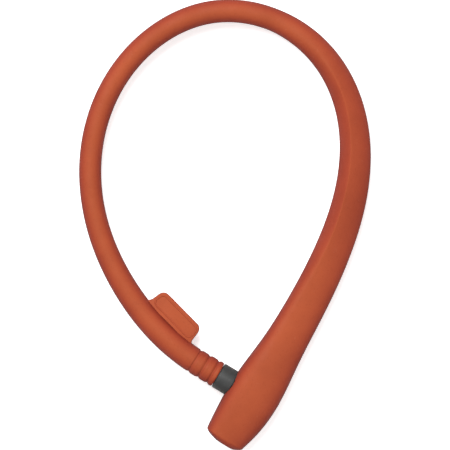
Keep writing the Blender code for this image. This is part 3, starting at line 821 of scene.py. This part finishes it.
def socket_parts():
    """Bush and seal inside the socket's mouth, seen when the plug is out."""
    seal_low, seal_high = box_mm("socket_seal")
    bush_low, bush_high = box_mm("socket_bush")
    bore, outer = SOCKET_BORE, bush_high.z
    bush = turned("socket_bush_turned", "X", [
        (bush_low.x, bore + BUSH_CHAMFER), (bush_low.x + BUSH_CHAMFER, bore), (bush_high.x, bore),
        (bush_high.x, outer), (bush_low.x, outer)], STEEL, closed=True, ease=0.12)
    seal = turned("socket_seal_ring", "X", [
        (seal_low.x, SEAL_BORE), (seal_low.x, seal_high.z), (seal_high.x, seal_high.z),
        (seal_high.x, SEAL_BORE)], RUBBER, closed=True, ease=0.35)
    bolt_hole = turned("tool", "Y", [(-8, BOLT_HOLE_R), (0, BOLT_HOLE_R)], STEEL, ease=0.0)
    cut(bush, bolt_hole)
    for piece, node, finish in ((bush, "socket_bush", "steel"), (seal, "socket_seal", "seal_rubber")):
        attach(piece, "lock_head")
        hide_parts(node)


def key_parts():
    """Barrel and core of the key cylinder, seen through the opening in the head's end."""
    face, back, barrel_r = barrel_low.y, barrel_high.y, barrel_high.z
    barrel_bore = KEY_CORE_R + 0.3
    barrel = turned("key_barrel", "Y", [
        (face, barrel_bore), (face, barrel_r), (back, barrel_r), (back, barrel_bore)],
        ZINC, closed=True, ease=0.35)
    core = turned("key_core", "Y", [
        (core_low.y, CORE_CENTRE_R), (core_low.y, KEY_CORE_R), (back, KEY_CORE_R),
        (back, KEY_TAIL_R), (core_high.y, KEY_TAIL_R)], BRASS, ease=0.3)
    wide, tall = KEYWAY_HALF
    cut(core, box_tool((-wide, core_low.y - 2, -tall), (wide, KEYWAY_FOOT, tall)))
    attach(barrel, "lock_head")
    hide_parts("cylinder_barrel")
    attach(core, "key_cylinder")
    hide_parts("cylinder_plug")


SPRING_WIRE_R = 0.27
SPRING_TURNS = 3
SPRING_FACETS = 36        # steps in one turn
WIRE_FACETS = 14


def spring_coil():
    """Return spring round the bolt's nose, coiled at one length; the real one shortens as the bolt
    moves up to the pin.
    """
    low, high = box_mm("bolt_spring")
    wire, last_step = SPRING_WIRE_R, SPRING_TURNS * SPRING_FACETS
    coil = high.z - wire
    first, last = low.y + wire, high.y - wire
    rings = []
    for k in range(last_step + 1):
        angle = 2 * math.pi * k / SPRING_FACETS
        out = np.array([math.sin(angle), 0.0, math.cos(angle)])
        centre = out * coil + np.array([0.0, mix(first, last, k / last_step), 0.0])
        rings.append(np.array([
            centre + out * wire * math.cos(a) + np.array([0.0, wire * math.sin(a), 0.0])
            for a in (2 * math.pi * c / WIRE_FACETS for c in range(WIRE_FACETS))]))
    spring = lofted("bolt_spring_coil", rings, STEEL)
    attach(spring, "lock_head")
    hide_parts("bolt_spring")
    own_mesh(spring)


def finish_frame_nodes():
    """Materials of the frame's own nodes that stay in place."""
    for name, node in frame["nodes"].items():
        made = ROPE if name.startswith("rope_") else ZINC if name == "lock_housing" else STEEL
        node.data.materials.clear()
        node.data.materials.append(made)


# ---------------------------------------------------------------- floor, light and camera

FLOOR_HALF = 3.0
FLOOR_GAP = 0.00005       # metres, so the skin and the floor don't share a plane


def floor():
    """Pale floor just under the lowest point of every piece made so far."""
    lowest = min(cad_low.z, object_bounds()[0].z) - FLOOR_GAP
    bm = bmesh.new()
    bmesh.ops.create_grid(bm, x_segments=2, y_segments=2, size=FLOOR_HALF)
    bmesh.ops.translate(bm, vec=(0, 0, lowest), verts=bm.verts)
    n = Nodes("pale_floor")
    tone = n.ramp(n.noise(3.0), [(0.3, (0.93, 0.93, 0.93)), (0.7, (0.95, 0.95, 0.95))])
    n.join(tone, n.shader.inputs["Base Color"])
    n.shader.inputs["Roughness"].default_value = 0.9
    seen = n.tree.nodes.new("ShaderNodeLightPath").outputs["Is Camera Ray"]
    n.shader.inputs["Emission Color"].default_value = (1, 1, 1, 1)
    n.join(n.span(seen, 0.0, 0.55, 0.0, 1.0), n.shader.inputs["Emission Strength"])
    mesh_piece("floor", bm, n.material)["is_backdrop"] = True


def area_light(name, aim, direction, distance, size, power):
    data = bpy.data.lights.new(name, "AREA")
    data.shape = "DISK"
    data.size = size
    data.energy = power
    made = bpy.data.objects.new(name, data)
    bpy.context.scene.collection.objects.link(made)
    direction = Vector(direction).normalized()
    made.location = aim + direction * distance
    made.rotation_mode = "QUATERNION"
    made.rotation_quaternion = direction.to_track_quat("Z", "Y")


CAMERA_TURN = math.radians(31.0)
CAMERA_AIM = (-68.56, 80.55, 0.0)     # millimetres from HEAD
CAMERA_HEIGHT = 1.6
FRAME_SIDE = 0.2745       # width of the view at the lock, in metres
WORLD_LIGHT = 0.42


def lights_and_camera():
    scene = bpy.context.scene
    aim = HEAD + Vector(CAMERA_AIM) * MM
    right = Vector((math.cos(CAMERA_TURN), math.sin(CAMERA_TURN), 0.0))
    up = Vector((-math.sin(CAMERA_TURN), math.cos(CAMERA_TURN), 0.0))
    area_light(
        "key_light", aim, up * 0.5 - right * 0.28 + Vector((0, 0, 1.0)),
        distance=2.6, size=1.8, power=77.0)
    area_light(
        "fill_light", aim, right * 0.5 - up * 0.6 + Vector((0, 0, 0.8)),
        distance=1.5, size=1.2, power=3.0)
    scene.world = bpy.data.worlds.new("studio")
    scene.world.use_nodes = True
    background = scene.world.node_tree.nodes["Background"]
    background.inputs["Color"].default_value = (1, 1, 1, 1)
    background.inputs["Strength"].default_value = WORLD_LIGHT
    scene.view_settings.view_transform = "Standard"
    data = bpy.data.cameras.new("camera")
    data.sensor_width = 36.0
    data.lens = data.sensor_width * CAMERA_HEIGHT / FRAME_SIDE
    camera = bpy.data.objects.new("camera", data)
    scene.collection.objects.link(camera)
    camera.location = aim + Vector((0, 0, CAMERA_HEIGHT))
    camera.rotation_euler = (0.0, 0.0, CAMERA_TURN)
    scene.camera = camera


finish_frame_nodes()
head_skin()
for bend_number in range(1, len(BENDS) + 1):
    bending_skin(bend_number)
end_skin()
label_tab()
tab_border()
plug_parts()
socket_parts()
key_parts()
spring_coil()
floor()
lights_and_camera()
